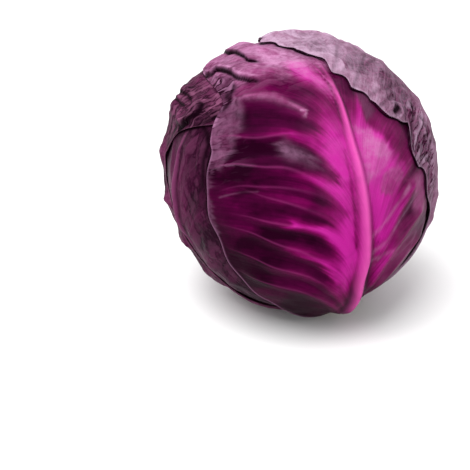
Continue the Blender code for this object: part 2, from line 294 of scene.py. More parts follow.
backLeaf = dict(
    name="back_leaf", azimuth=-165, latitude=5, roll=3, cells=(180, 260), seed=3,
    rim={0: 104, 30: 100, 60: 94, 90: 92, 120: 97, 150: 110, 168: 116, 180: 116, 192: 116,
         210: 110, 240: 98, 270: 94, 300: 96, 330: 100},
    veins=evenVeins((-96, -70, -45, -18, 10, 38), 48), veinHeight=0.9, veinWidth=4.0,
    grow=(48, 15, 0.15), midrib=(3.6, 5.0), bulge=0.5, wave=(2.2, 9), lift=0.5, crinkle=0.3,
    facet=(17, 0.7), tone=(0.16, 0.3, 0.62), glow=(8, 30, 8, 30), filmAndSheen=0.55, shine=0.4,
)
leftLeaf = dict(
    name="left_leaf", azimuth=-65, latitude=0, roll=-8, cells=(180, 260), seed=5,
    rim={0: 92, 30: 90, 60: 84, 90: 84, 120: 92, 150: 102, 168: 109, 180: 109, 192: 109, 210: 102,
         240: 90, 270: 84, 300: 84, 330: 90},
    veins=evenVeins((-92, -68, -42, -17, 12, 38), 46), veinHeight=0.8, veinWidth=3.8,
    grow=(46, 15, 0.15), midrib=(3.6, 5.0), bulge=0.6, wave=(2.2, 9), lift=0.5, crinkle=0.35,
    facet=(19, 0.8), tone=(0.05, 0.1, 0.32), glow=(8, 26, 8, 26), filmAndSheen=0.24, shine=0.38,
    # Painted shade in the pocket by the front leaf's margin
    dark=[([(-14, 58), (-22, 54), (-26, 49), (-25, 40), (-27, 20)], 8, 1.0)],
    crease=[([(-14, 58), (-21, 55), (-25, 49), (-25, 40), (-28, 26)], 2.2, 1.5)],
    wax=[
        ([(6, 39), (-8, 34), (-20, 29)], 1.2, 0.7, 0.5), ([(19, 35), (3, 33), (-7, 26)], 1.2, 0.6),
        ([(-20, 57), (-27, 52), (-31, 45)], 1.0, 0.8),
    ],
    raised=[([(-18, 52), (-21, 45), (-22, 36)], 1.8, 1.2, 1.0)],
)
capRidges = ([(-50, 47), (-52, 57), (-55, 64)], [(-59, 48), (-61, 56), (-64, 61)],
             [(-65, 47), (-66, 53), (-67, 59)])
capLeaf = dict(
    name="cap_leaf", azimuth=-115, latitude=30, roll=0, cells=(212, 292), seed=8,
    rim={0: 74, 30: 82, 60: 88, 90: 90, 120: 104, 150: 132, 166: 151, 180: 151, 194: 151, 205: 138,
         218: 112, 230: 82, 246: 50, 266: 42, 285: 50, 294: 63, 300: 79, 306: 97, 318: 99, 330: 92,
         345: 80},
    veins=evenVeins((-118, -88, -58, -30, -2, 24), 44), veinHeight=1.0, veinWidth=4.0,
    grow=(44, 15, 0.15), midrib=(3.4, 5.0), bulge=1.0, wave=(2.4, 11), lift=0.5, crinkle=0.7,
    facet=(14, 1.2), tone=(0.2, 0.2, 0.42), glow=(8, 28, 8, 28), filmAndSheen=0.5, shine=0.42,
    shadow=(2.3, 0.75),
    # Dark strokes and creases: painted shade along the cap's folds and at its lower edge
    dark=[
        ([(-54, 28), (-58, 38), (-55, 46)], 2.4, 0.5), ([(-30, 24), (-46, 34)], 2.0, 0.3),
        ([(-60, 28), (-66, 40), (-69, 52)], 3.2, 0.4, 1.0),
    ],
    crease=[
        ([(-40, 8), (-52, 26)], 1.2, 0.5, 1.0), ([(-62, 30), (-67, 40), (-70, 51)], 1.8, 0.5, 1.6),
    ],
    lips=[
        ([(-47, 44), (-55, 46), (-59, 41), (-57, 32), (-53, 22)], 1.6, 6, 1.2),
        ([(-49, 30), (-44, 34), (-20, 25)], 0.8, 6, 1.1),
        ([(-50, 40), (-36, 38), (-18, 27)], 0.7, 5, 1.0),
        ([(-70, 50), (-67, 58), (-62, 66)], 1.2, 5, 1.1),
    ],
    raised=[
        (capRidges[0], 1.6, 1.0, 0.8), (capRidges[1], 1.4, 1.0, 0.8), (capRidges[2], 1.2, 0.9, 0.7),
        ([(-42, 20), (-54, 30), (-62, 40)], 2.0, 0.7, 0.9),
        ([(-22, 33), (-36, 49), (-40, 60)], 2.2, 0.9),
    ],
    wax=[
        (capRidges[0], 1.2, 0.9, 0.6), (capRidges[1], 1.1, 0.9, 0.6), (capRidges[2], 1.0, 0.9, 0.6),
        ([(-24, 33), (-37, 49), (-41, 60)], 2.2, 0.8), ([(-46, 22), (-57, 34)], 1.4, 0.4, 0.8),
        ([(-58, 44), (-64, 56)], 5, 0.75),
    ],
)
longFold = [(49, 60), (41, 56), (33, 53), (27, 48), (21, 42)]
foldEnd, upperFold = [(22, 42), (19, 41), (21, 38)], [(47, 81), (33, 75), (18, 69)]
frontLeaf = dict(
    name="front_leaf", azimuth=25.4, latitude=7.1, roll=-6, cells=(228, 380), seed=2,
    rim={0: 118, 12: 128, 24: 136, 32: 132, 36: 122, 41: 92, 50: 88, 70: 87, 84: 89, 105: 93,
         125: 98, 150: 108, 165: 117, 174: 119, 186: 119, 200: 114, 220: 100, 245: 82, 270: 70,
         300: 72, 330: 84, 348: 104},
    veins=[
        vein(1, -142, 64, 12, 0.3), vein(1, -128, 66, 12, 0.32, 1.0, 90, 1.0),
        vein(1, -112, 66, 12, 0.34, 1.0, 90, 2.0), vein(1, -90, 62, 10, 0.25, 1.1, 80, 0.4),
        vein(1, -80, 62, 11, 0.35, 0.9, 70, 1.6), vein(1, -49, 58, 16, -0.04, 0.7, 90, 2.6),
        vein(1, -46, 52, 12, 0.2, 1.1, 95, 3.1), vein(1, -24, 45, 8, 0.25, 1.0, 90, 0.9),
        vein(1, -8, 38, 6.5, 0.4, 0.5, 40, 2.2), vein(1, 16, 30, 9, 0.25, 0.5, 80, 1.2),
        vein(-1, -132, 60, 12, 0.35, 0.9), vein(-1, -112, 62, 12, 0.4, 1.0, 90, 1.3),
        vein(-1, -88, 60, 11, 0.4, 0.9, 90, 2.4), vein(-1, -70, 3, 5, 0.35, 0.4, 60, 0.5),
        vein(-1, -62, 46, 10, 0.45, 0.8, 90, 0.7), vein(-1, -30, 44, 9, 0.4, 0.5, 90, 2.9),
        vein(-1, 4, 34, 8, 0.35, 0.4, 90, 1.1),
    ],
    veinHeight=1.25, veinWidth=4.4, grow=(54, 11, 0.22), midrib=(5.2, 4.2), bulge=0.5,
    wave=(1.4, 13), lift=0.35, crinkle=0.16, facet=(26, 0.25), bend=13, tipBend=5.5,
    tone=(0.1, 0.28, 0.98), glow=(9, 34, 16, 50), filmAndSheen=1.0, shine=0.36, shadow=(1.6, 0.6),
    dark=[
        ([(52, 50), (38, 44), (30, 36), (20, 28)], 4.4, 0.9, 0.45),
        ([(66, 27), (54, 28), (41, 24), (33, 19)], 5.2, 1.0, 0.8),
        ([(70, 15), (56, 17), (40, 15), (30, 10)], 3.4, 0.8, 0.6),
        ([(32, 16), (22, 8), (15, 1)], 3.6, 0.9, 0.6),
        ([(70, -2), (51, 8), (41, 2), (31, -4), (20, -12), (12, -22)], 2.8, 1.0, 0.3),
        ([(62, -9), (43, -10), (33, -14), (24, -22)], 3.4, 0.95, 0.3),
        ([(56, -23), (38, -25), (28, -33), (18, -48)], 3.4, 0.95, 0.0),
        ([(60, -42), (39, -46), (28, -54), (19, -70)], 4.0, 0.8, 0.4),
        # The second stroke on the next line is painted shade on the leaf's foot
        ([(60, -66), (36, -76), (20, -92)], 6, 0.7), ([(44, -92), (8, -118)], 14, 1.0),
        ([(-27, -72), (-14, -98)], 8, 0.5, 0.9), ([(54, 71), (59, 65), (64, 59)], 2.0, 1.0, 0.9),
        ([(5, 14), (6, -12), (6, -42)], 1.2, 0.3, 0.5), ([(24, 12), (14, 2)], 2.6, 0.8, 0.7),
        ([(50, 120), (66, 112), (80, 100)], 6, 0.4), ([(82, 30), (84, 18)], 4, 0.35, 0.5),
        ([(20, -76), (10, -86)], 6, 0.5, 0.6),
        ([(-9, -36), (-20, -26), (-30, -20)], 2.6, 0.1, 0.25),
        ([(-9, -44), (-22, -34), (-38, -20)], 2.6, 0.1, 0.45),
        ([(-10, -54), (-26, -44), (-40, -34)], 3.0, 0.35, 0.1),
        ([(49, 66), (58, 50), (66, 36), (76, 20), (82, 0)], 3.0, 0.0, 0.3),
    ],
    bright=[
        (longFold, 1.8, 0.16, 0.3), ([(59, 36), (46, 33), (31, 29)], 1.0, 0.05, 0.3),
        ([(31, 29), (24, 23), (17, 15), (9, 3)], 2.6, 0.4, 0.25),
        ([(46, 12), (26, 4), (12, -8)], 2.2, 0.0, 0.25),
        ([(42, -5), (28, -10), (15, -22), (8, -32)], 2.2, 0.05, 0.32),
        ([(42, -19), (24, -27), (14, -38), (10, -49)], 2.6, 0.65, 0.45),
        ([(-6, -8), (-9, -40)], 4.0, 0.3),
        ([(43, -35), (34, -41), (24, -48), (17, -62)], 2.6, 0.18, 0.35),
        ([(11, 72), (4, 59), (0, 47)], 5.5, 1.0, 0.45),
        ([(-15, 43), (-10, 30), (-7, 22)], 2.0, 0.3),
    ],
    wax=[
        ([(36, 22), (28, 15), (22, 10)], 3.4, 0.9, 0.15), (longFold, 1.6, 0.14, 0.35),
        ([(8, 68), (1, 52)], 5, 0.4, 0.35), ([(84, 22), (90, 4), (90, -24)], 2.0, 0.1, 0.2),
        ([(44, 89), (28, 84), (12, 76)], 3.5, 0.5, 0.4), (upperFold, 2.4, 0.4),
        ([(60, 100), (72, 112)], 11, 0.45), ([(0, 120), (30, 110), (55, 106)], 9, 0.7),
        ([(-52, 10), (-58, -20), (-54, -45)], 6, 0.35),
        ([(-3, -39), (-11, -32), (-22, -23), (-33, -15)], 1.2, 0.2, 0.6),
        ([(-5, -49), (-17, -40), (-31, -29), (-46, -15)], 1.3, 0.2, 0.7),
        ([(-4, -54), (-21, -52), (-39, -48), (-54, -40)], 1.5, 0.2, 0.6), (foldEnd, 0.9, 0.8, 0.5),
        ([(83, 21), (73, 22), (62, 19), (54, 17)], 0.8, 0.35, 0.2),
        ([(81, 2), (71, 3), (63, 3), (56, 2)], 0.6, 0.15, 0.1),
        ([(76, 40), (69, 37), (58, 35)], 0.8, 0.4, 0.3),
        ([(49, 74), (54, 67), (57, 60)], 1.4, 0.0, 0.4),
        ([(-12, -90), (-30, -72), (-44, -48), (-50, -26)], 1.2, 0.3, 0.6),
        ([(-14, -98), (-34, -82), (-50, -57)], 1.1, 0.3, 0.6),
    ],
    raised=[
        (longFold, 2.4, 1.0, 0.6), (foldEnd, 1.2, 0.5),
        ([(52, 60), (57, 42), (66, 31), (78, 21)], 2.2, 0.9, 0.6), (upperFold, 3.0, 0.9, 0.6),
    ],
    lips=[
        ([(33, 65), (39, 68), (44, 72), (49, 78), (55, 91), (59, 96), (64, 94), (83, 112)], 2.0,
         14, 1.3),
        ([(28, 81), (36, 90), (39, 104), (44, 110), (49, 127)], 1.3, 12, 1.8),
    ],
    crease=[
        ([(53, 74), (57, 67), (62, 60)], 1.2, 1.2, 0.9),
        ([(37, 89), (30, 81), (18, 73), (11, 67)], 2.2, 0.5, 0.2),
        ([(39, 67), (29, 66), (16, 64)], 2.2, 0.6, 0.2),
        ([(45, 70), (40, 66), (26, 60)], 1.6, 0.6, 0.2),
    ],
    patches=[
        ([(57, 64), (66, 57), (74, 49), (86, 24), (78, 21), (67, 30), (58, 39), (53, 54)], 1.6,
         0.25, 0.34, 0.85),
        ([(-5, 25), (-14, 21), (-21, 12), (-27, 1), (-16, -2), (-5, -14)], 2.5, 0.8, 0.55, 0.8),
        ([(-15, -3), (-27, -1), (-28, -9), (-18, -17), (-11, -14)], 2.0, 0.55, 0.45, 0.65),
        ([(-15, 46), (-30, 42), (-42, 12), (-37, -6), (-29, -1), (-21, 14), (-14, 24)], 2.5, 0.36,
         0.04, 0.8),
        ([(-15, 47), (-26, 42), (-24, 32), (-15, 29)], 2.0, 0.2, 0.2, 0.75),
        ([(-34, -12), (-58, -10), (-60, -42), (-38, -34)], 4.0, 0.5, 0.25, 0.8),
        ([(50, 86), (52, 134), (84, 128), (100, 100), (88, 80)], 5.0, 0.4, 0.62, 0.65),
        ([(-24, -32), (-40, -34), (-60, -42), (-44, -82), (-22, -96), (-14, -72)], 4.0, 0.3, 0.12,
         0.7),
    ],
)
blister = [(82, 5), (80, -2), (74, -5), (69, -2), (71, 4), (78, 8)]
sideRidges = ([(58, -17), (65, -22), (78, -20), (90, -22)], [(56, -27), (72, -25), (79, -40)])
crownLeaf = dict(
    name="crown_leaf", azimuth=120, latitude=40, roll=0, cells=(220, 320), seed=13,
    rim={0: 72, 15: 70, 35: 67, 52: 74, 60: 77, 66: 81, 76: 80, 88: 85, 93: 82, 97: 76, 99: 74,
         101: 92, 104: 97, 112: 97, 120: 103, 130: 109, 142: 117, 152: 128, 168: 165, 180: 165,
         192: 165, 210: 150, 240: 108, 270: 92, 300: 80, 325: 66, 345: 66},
    veins=evenVeins((-130, -100, -70, -40, -12, 16), 44), veinHeight=0.7, veinWidth=3.4,
    grow=(44, 15, 0.15), midrib=(3.8, 5.0), bulge=0.7, wave=(2.2, 19), lift=0.6, crinkle=0.3,
    facet=(19, 1.3), tone=(0.28, 0.16, 0.62), glow=(8, 26, 8, 26), filmAndSheen=0.9, shine=0.46,
    scallop=(3.0, 15, -0.5), shadow=(0.9, 0.5), sharp=22, facetShading=0.17, soften=1,
    patches=[
        ([(0, 40), (0, 80), (30, 72), (57, 49), (27, 36)], 1.5, 0.36, 1.15, 0.8),
        ([(27, 36), (57, 49), (70, 42), (69, 34), (29, 17)], 1.2, 0.29, 0.64, 0.8),
        ([(29, 16), (69, 34), (76, 27), (77, 14), (52, -4)], 1.2, 0.27, 0.48, 0.8),
        ([(52, -4), (77, 14), (83, 10), (74, -6), (62, -14)], 1.4, 0.2, 0.24, 0.8),
    ],
    drawnUp=[(60, -8), (72, -10), (96, -20), (104, -70), (84, -80), (62, -40)],
    dark=[
        ([(56, 12), (66, 4), (74, 2)], 6, 0.7),
        ([(72, -14), (90, -24), (92, -50)], 8, 0.5, 0.6), ([(70, -30), (76, -44)], 5, 0.7),
    ],
    wax=[(sideRidges[0], 1.1, 0.9, 0.6), (sideRidges[1], 1.1, 0.9, 0.7), (blister, 1.1, 0.9)],
    crease=[
        ([(27, 35), (45, 42), (58, 48)], 1.4, 0.5), ([(29, 17), (54, 28), (72, 36)], 1.4, 0.6),
        ([(49, 25), (40, 15), (32, 10)], 1.3, 0.6, 0.5),
        ([(76, 25), (70, 19), (62, 9), (46, -8)], 1.4, 0.6, 0.5),
        ([(82, 17), (75, 12), (66, 6)], 1.3, 0.7, 0.6),
        ([(66, -20), (74, -36), (84, -52)], 1.4, 1.0), ([(78, 3), (73, 0)], 2.2, 2.0),
        ([(62, -14), (76, -14), (94, -18)], 1.3, 0.9),
        ([(70, -28), (84, -30), (92, -36)], 1.2, 0.9),
    ],
    raised=[
        (blister, 1.5, 1.8), (sideRidges[0], 1.5, 1.2, 0.8), (sideRidges[1], 1.5, 1.2, 0.9),
        ([(78, -50), (84, -38), (92, -28)], 1.6, 0.9, 0.7),
    ],
)
leaves = [backLeaf, leftLeaf, capLeaf, frontLeaf, crownLeaf]


# Sideways place of the midrib: bend ((-70 - y) / 65)^1.5 toward the stump at its base, and
# tipBend over the tip
def midline(leaf, y, base=-70, over=65, tip=(12, 80)):
    return (-leaf.get("bend", 0) * np.clip((base - y) / over, 0, 1) ** 1.5
            - leaf.get("tipBend", 0) * smooth(*tip, y))


midrib = dict(run=(-130, 90), narrows=0.68, sinks=0.7, flare=3, flareAt=(-80, -125),
              flat=0.4, flatAt=(-85, -120), groove=0.6, grooveAt=2.1)


# Midrib: height exp(-(across / wide)^2), lower and narrower toward the tip and flared at the
# foot, with a shallow groove on each side; gives the height, the painted ridge and its line
def midribHeight(leaf, x, y):
    height, width = leaf["midrib"]
    along, across = smooth(*midrib["run"], y), np.abs(x - midline(leaf, y))
    wide = width * (1 - midrib["narrows"] * along) + midrib["flare"] * smooth(*midrib["flareAt"], y)
    height = height * (1 - midrib["sinks"] * along)
    ridge = height * (1 - midrib["flat"] * smooth(*midrib["flatAt"], y)) * hill(across, wide)
    groove = midrib["groove"] * (1 - along) * hill(across - midrib["grooveAt"] * wide, wide)
    return ridge - groove, hill(across, 0.85 * wide), hill(across - 1.4 * wide, 0.4 * wide)


# Side veins: y = start + rise (1 - exp(-|x| / turn)) + slope |x|, a little wavy; the ridge is
# exp(-(d / width)^2), once broad and once as a fine line
def veinField(leaf, x, y, sway=1.2, swayLength=13.0):
    across = np.abs(x - midline(leaf, y))
    broad, fine = np.zeros(x.shape), np.zeros(x.shape)
    drift = 1.3 * noise(x, y, 17, leaf["seed"] + 40)
    taper = 1 - 0.45 * smooth(0, 80, across)
    broadly = leaf["veinWidth"] * (0.7 + 0.6 * taper)
    for one in leaf["veins"]:
        turning = one["rise"] * np.exp(-across / one["turn"])
        line = one["start"] + one["rise"] - turning + one["slope"] * across
        line = line + drift + sway * np.sin(across / swayLength + one["wobble"])
        steep = np.sqrt(1 + (one["slope"] + turning / one["turn"]) ** 2)
        away = (y - line) / steep
        there = one["strength"] * smooth(-1.5, 1.5, one["side"] * x)
        there *= smooth(one["reach"], 0.6 * one["reach"], across)
        broad = np.maximum(broad, there * hill(away, broadly))
        fine = np.maximum(fine, there * hill(away, 0.9 * taper))
    return broad * smooth(2, 12, across), fine * smooth(0, 5, across)


# Where a point lies between the veins: the start of the vein that would pass through it
def betweenVeins(leaf, x, y):
    rise, turn, slope = leaf["grow"]
    across = np.abs(x - midline(leaf, y))
    return y - rise * (1 - np.exp(-across / turn)) - slope * across


# Each strand between the veins is shifted along them by its own amount, so that painted
# patches end in fibres
def strandDrift(leaf, x, y, amount=8, long=24, thin=2.4):
    rise, turn, slope = leaf["grow"]
    across = np.abs(x - midline(leaf, y))
    climb = slope + rise / turn * np.exp(-across / turn)
    shift = rough(across / long, betweenVeins(leaf, x, y) / thin, 1, leaf["seed"] + 15, 2)
    shift *= amount / np.sqrt(1 + climb ** 2)
    return np.sign(x) * shift, climb * shift


# How far a point lies above the line where the front leaf's upper left lobe folds over
def aboveLobe(x, y, slope=0.86):
    return y - 68 - slope * (x - 39)


# The front leaf's corner that is tucked under that lobe: below its line and right of another
def tucked(x, y):
    return smooth(3, -2, aboveLobe(x, y) + 1) * smooth(-2, 2, 1.3 * (x - 54) + y - 72)


# Gathers, as on a leaf that dried while it was pulled upward: a noise drawn out along
# ridges that lean by slant and sway
def gathers(x, y, slant=0.3, cell=3.6, drawnOut=0.2, sway=2):
    across, along = x + slant * y, y - slant * x
    return rough(across + sway * noise(x, y, 12, 75), along * drawnOut, cell, 73, 3)


# Where a leaf is dry and crumpled, from 0 to 1
def dryness(leaf, x, y):
    if leaf is frontLeaf:
        crumpled = np.maximum(tucked(x, y), 0.6 * smooth(50, 64, x) * smooth(78, 92, y))
        upper, outer = smooth(50, 80, y), smooth(50, 75, x) * smooth(5, 30, y)
        return np.maximum(crumpled, 0.35 * upper + 0.25 * outer)
    if leaf is crownLeaf:
        return np.maximum(0.25, 0.9 * patch(x, y, leaf["drawnUp"], 4))
    if leaf is capLeaf:
        return 0.25 + 0.65 * smooth(15, -25, x) * smooth(-20, 20, y)
    return np.full(x.shape, 0.3)


# Folds: the strokes that are creased or raised, the front leaf's upper left lobe, and gathers on
# the cap leaf and on the drawn-up side of the crown leaf; gives the height, the painted shade in a
# fold, and the painted highlight where it catches the light
def foldHeight(leaf, x, y):
    creases, raised = strokes(x, y, leaf.get("crease")), strokes(x, y, leaf.get("raised"))
    height, shut, lit = lips(x, y, leaf.get("lips", []))
    height, shut, lit = height + raised - creases, shut + creases, np.maximum(lit, 0.35 * raised)
    if leaf is frontLeaf:
        over = aboveLobe(x, y)
        lobe = 1.8 * smooth(-5, 3, over) * hill(over, 26) * smooth(26, 44, x)
        crest = 4.5 * smooth(84, 108, y) * smooth(-25, 5, x) * smooth(52, 26, x)
        soft = smooth(55, 80, y) * rough(0.3 * x, y - 0.3 * x, 7, 83, 3)
        height = height + lobe + crest
        wrinkles = gathers(x, y) * tucked(x, y) + 0.9 * soft
    elif leaf is capLeaf:
        slant = y - 0.7 * x
        fan = np.sin(0.34 * slant + 1.1 * noise(x, y, 21, 71)) * smooth(-20, -45, x)
        height = height + 0.5 * fan + 2.0 * hill(np.hypot(x + 27, y - 54), 17)
        # Painted shade in the troughs of the fan
        shut = shut + 0.35 * np.clip(-fan - 0.35, 0, 1)
        wrinkles = 1.1 * gathers(x, y) * smooth(10, -30, x) * (0.25 + 0.75 * smooth(-20, 20, y))
    elif leaf is crownLeaf:
        wrinkles = 1.2 * gathers(x, y, 0.9) * patch(x, y, leaf["drawnUp"], 4)
    else:
        return height, shut, lit
    # Painted shade in the troughs of the gathers and a painted highlight on their ridges
    low, high = np.clip(-wrinkles, 0, 1), np.clip(wrinkles, 0, 1)
    return height + 0.8 * wrinkles, shut + 0.7 * low, lit + 0.8 * high


# Soft swellings: bulge times a sum of sine waves of seeded headings, lengths and phases
def bulgeHeight(leaf, x, y, waves=5, lengths=(24, 46), turn=6.28):
    random = np.random.default_rng(leaf["seed"])
    total = np.zeros_like(x)
    for _ in range(waves):
        heading, length = random.uniform(0, turn), random.uniform(*lengths)
        phase = random.uniform(0, turn)
        total += np.sin(turn * (x * np.cos(heading) + y * np.sin(heading)) / length + phase)
    return leaf["bulge"] * total * 0.4


# Square grid bent into a round leaf: disc (u sqrt(1 - v^2 / 2), v sqrt(1 - u^2 / 2)),
# closer toward the midrib, stretched to the rim, with the waves and lobes only near the edge
def leafGrid(leaf, crowding=1.15):
    across, along = (np.linspace(-1, 1, cells + 1) for cells in leaf["cells"])
    u, v = np.meshgrid(np.sign(across) * np.abs(across) ** crowding, along, indexing="ij")
    discX, discY = u * np.sqrt(1 - v ** 2 / 2), v * np.sqrt(1 - u ** 2 / 2)
    bearing, part = np.arctan2(discX, discY), np.hypot(discX, discY)
    even = rimOf(leaf, bearing, waves=0, soften=16)
    distance = part * (even + (rimOf(leaf, bearing) - even) * part ** 4)
    y = distance * np.cos(bearing)
    return distance * np.sin(bearing) + midline(leaf, y) * (1 - part ** 2), y


sparse = 4  # the inner side of a leaf keeps every fourth point


# Closed leaf from a fine outer grid and a sparse inner grid that faces the other way, with
# the rim's fine edges fanned onto the sparse ones
def leafFaces(rows, columns):
    index = np.arange(rows * columns).reshape(rows, columns)
    fewRows, fewColumns = (rows - 1) // sparse + 1, (columns - 1) // sparse + 1
    under = np.arange(fewRows * fewColumns).reshape(fewRows, fewColumns) + rows * columns

    def quadsOf(grid):
        around = [grid[:-1, :-1], grid[:-1, 1:], grid[1:, 1:], grid[1:, :-1]]
        return np.stack(around, -1).reshape(-1, 4)

    def loopOf(grid):
        return np.concatenate([grid[:-1, 0], grid[-1, :-1], grid[:0:-1, -1], grid[0, :0:-1]])
    outer, near = loopOf(index), loopOf(under)
    outer, far = np.append(outer, outer[0]), np.roll(near, -1)
    half = sparse // 2
    fans = [np.stack([outer[k:-1:sparse], outer[k + 1::sparse], near if k < half else far], -1)
            for k in range(sparse)]
    fans.append(np.stack([outer[half:-1:sparse], far, near], -1))
    return np.concatenate([quadsOf(index), quadsOf(under.T)]), np.concatenate(fans)


# New object of the scene
def added(name, data):
    item = bpy.data.objects.new(name, data)
    bpy.context.collection.objects.link(item)
    return item


# Mesh in metres, round the head's middle, with its UV maps and one attribute for each mask
def makeMesh(name, points, quads, triangles, maps, masks):
    mesh = bpy.data.meshes.new(name)
    sizes = np.concatenate([np.full(len(quads), 4), np.full(len(triangles), 3)])
    corners = np.concatenate([quads.ravel(), triangles.ravel()]).astype(np.int32)
    metres = (points + [0, 0, head["height"]]) * millimetre
    mesh.vertices.add(len(points))
    mesh.vertices.foreach_set("co", metres.astype(np.float32).ravel())
    mesh.loops.add(len(corners))
    mesh.loops.foreach_set("vertex_index", corners)
    mesh.polygons.add(len(sizes))
    starts = np.concatenate([[0], np.cumsum(sizes)[:-1]]).astype(np.int32)
    mesh.polygons.foreach_set("loop_start", starts)
    mesh.update(calc_edges=True)
    mesh.validate()
    mesh.shade_smooth()
    for key, values in maps.items():
        layer = mesh.uv_layers.new(name=key)
        layer.data.foreach_set("uv", values[corners].astype(np.float32).ravel())
    for key, values in masks.items():
        layer = mesh.attributes.new(key, "FLOAT", "POINT")
        layer.data.foreach_set("value", values.astype(np.float32).ravel())
    return added(name, mesh)


class Sock:  # one output socket, with operators that add Math nodes
    def __init__(self, board, socket):
        self.board, self.socket = board, socket

    def maths(self, operation, *values):
        return self.board.node("Math", dict(operation=operation), values)

    def __add__(self, other): return self.maths("ADD", self, other)
    def __radd__(self, other): return self.maths("ADD", other, self)
    def __sub__(self, other): return self.maths("SUBTRACT", self, other)
    def __rsub__(self, other): return self.maths("SUBTRACT", other, self)
    def __mul__(self, other): return self.maths("MULTIPLY", self, other)
    def __rmul__(self, other): return self.maths("MULTIPLY", other, self)
    def __abs__(self): return self.maths("ABSOLUTE", self)
    def clip(self): return self.board.node("Clamp", {}, (self, 0.0, 1.0))


class Board:  # the node tree of one material
    def __init__(self, name):
        self.material = bpy.data.materials.new(name)
        self.material.use_nodes = True
        self.tree = self.material.node_tree
        self.shader = self.tree.nodes["Principled BSDF"]

    # Any node: its settings first, then the values or links of its inputs; gives one output
    def node(self, kind, settings=None, inputs=(), out=0):
        made = self.tree.nodes.new("ShaderNode" + kind)
        for key, value in (settings or {}).items():
            if key == "stops":
                ramp = made.color_ramp.elements
                for place, colour in value[1:-1]:
                    ramp.new(place)
                for stop, (place, colour) in zip(ramp, value):
                    stop.position, stop.color = place, (*colour, 1.0)
            else:
                setattr(made, key, value)
        pairs = inputs.items() if isinstance(inputs, dict) else enumerate(inputs)
        for place, value in pairs:
            self.put(made.inputs[place], value)
        return Sock(self, made.outputs[out])

    def put(self, entry, value):
        if isinstance(value, Sock):
            self.tree.links.new(value.socket, entry)
        else:
            colour = entry.type == "RGBA" and len(value) == 3
            entry.default_value = (*value, 1.0) if colour else value

    def mask(self, name):
        return self.node("Attribute", dict(attribute_name=name), out="Fac")

    # 3t^2 - 2t^3 between low and high
    def step(self, value, low, high):
        return self.node("MapRange", dict(interpolation_type="SMOOTHSTEP"),
                         (value, low, high, 0.0, 1.0))

    # first (1 - amount) + second amount; 0, 6 and 7 are a colour Mix node's own sockets
    def blend(self, amount, first, second):
        return self.node("Mix", dict(data_type="RGBA"), {0: amount, 6: first, 7: second}, out=2)

    def ramp(self, value, stops):
        return self.node("ValToRGB", dict(stops=stops), (value,))

    def grain(self, place, scale, detail=3.0, roughness=0.5, flat=False):
        return self.node("TexNoise", dict(noise_dimensions="2D" if flat else "3D"),
                         dict(Vector=place, Scale=scale, Detail=detail, Roughness=roughness))

    # Net of cell edges: 1 on an edge, 0 inside a cell
    def net(self, place, scale, width):
        edge = self.node("TexVoronoi", dict(feature="DISTANCE_TO_EDGE", voronoi_dimensions="2D"),
                         dict(Vector=place, Scale=scale))
        return 1 - self.step(edge, 0.0, width)

    def stretched(self, place, by):
        return self.node("VectorMath", dict(operation="MULTIPLY"), (place, by))

    def bump(self, height, distance, strength=1.0):
        return self.node("Bump", {}, dict(Strength=strength, Distance=distance, Height=height))

    def finish(self, settings):
        for key, value in settings.items():
            self.put(self.shader.inputs[key], value)
        return self.material


# Linear colours: a ramp from shade to glow, the veins, the wax bloom that dulls them, which also
# carries painted sheen and highlights, the tint of the sheen; crumple is how many dry folds come to
# a metre
redPurple = ((0.0, (0.012, 0.0003, 0.006)), (0.22, (0.045, 0.0006, 0.021)),
             (0.45, (0.112, 0.0013, 0.049)), (0.72, (0.235, 0.004, 0.12)),
             (1.0, (0.385, 0.012, 0.22)))
dullPurple = ((0.0, (0.012, 0.001, 0.007)), (0.25, (0.048, 0.005, 0.026)),
              (0.5, (0.11, 0.018, 0.062)), (0.75, (0.2, 0.034, 0.12)),
              (1.0, (0.32, 0.055, 0.2)))
greyMauve = ((0.0, (0.02, 0.003, 0.012)), (0.25, (0.078, 0.02, 0.048)),
             (0.5, (0.165, 0.058, 0.112)), (0.75, (0.26, 0.105, 0.19)),
             (1.0, (0.34, 0.14, 0.25)))
leafPaint = dict(
    back_leaf=dict(ramp=dullPurple, vein=(0.28, 0.08, 0.18), wax=(0.25, 0.12, 0.21),
                   tint=(1, 0.5, 0.85), net=0.14, crumple=(140, 110, 1)),
    left_leaf=dict(ramp=dullPurple, vein=(0.16, 0.035, 0.1), wax=(0.18, 0.06, 0.12),
                   tint=(1, 0.3, 0.7), net=0.05, crumple=(120, 70, 1)),
    cap_leaf=dict(ramp=dullPurple, vein=(0.24, 0.08, 0.17), wax=(0.26, 0.09, 0.17),
                  tint=(1, 0.4, 0.8), net=0.06, crumple=(240, 75, 1)),
    front_leaf=dict(ramp=redPurple, vein=(0.57, 0.072, 0.32), wax=(0.42, 0.19, 0.34),
                    tint=(1, 0.2, 0.7), net=0.0, crumple=(55, 190, 1)),
    crown_leaf=dict(ramp=greyMauve, vein=(0.26, 0.06, 0.16), wax=(0.42, 0.28, 0.39),
                    tint=(1, 0.75, 0.95), net=0.34, crumple=(50, 210, 1)),
)
# Patterns of a skin in cells to a metre; a net is its cells, the width of an edge, strength
# In skin, creased is the painted shade in the creases of dry folds, rim the strength of the painted
# highlight along a leaf's rim, and the near-black colour the painted shade in folds and under other
# leaves
skin = dict(cloud=46, speck=300, mottling=120, threads=(60, 620, 1), strands=(24, 190, 1),
            warp=40, warpBy=0.008, net=(120, 0.09), fineNet=(310, 0.14, 0.6),
            clouded=0.2, specked=0.14, threaded=0.5, stranded=0.45, creased=0.2, fineVein=0.27,
            rim=0.35, paintedShadeColour=(0.005, 0.0006, 0.003), sheen=0.018, relief=0.00035, shown=0.8)
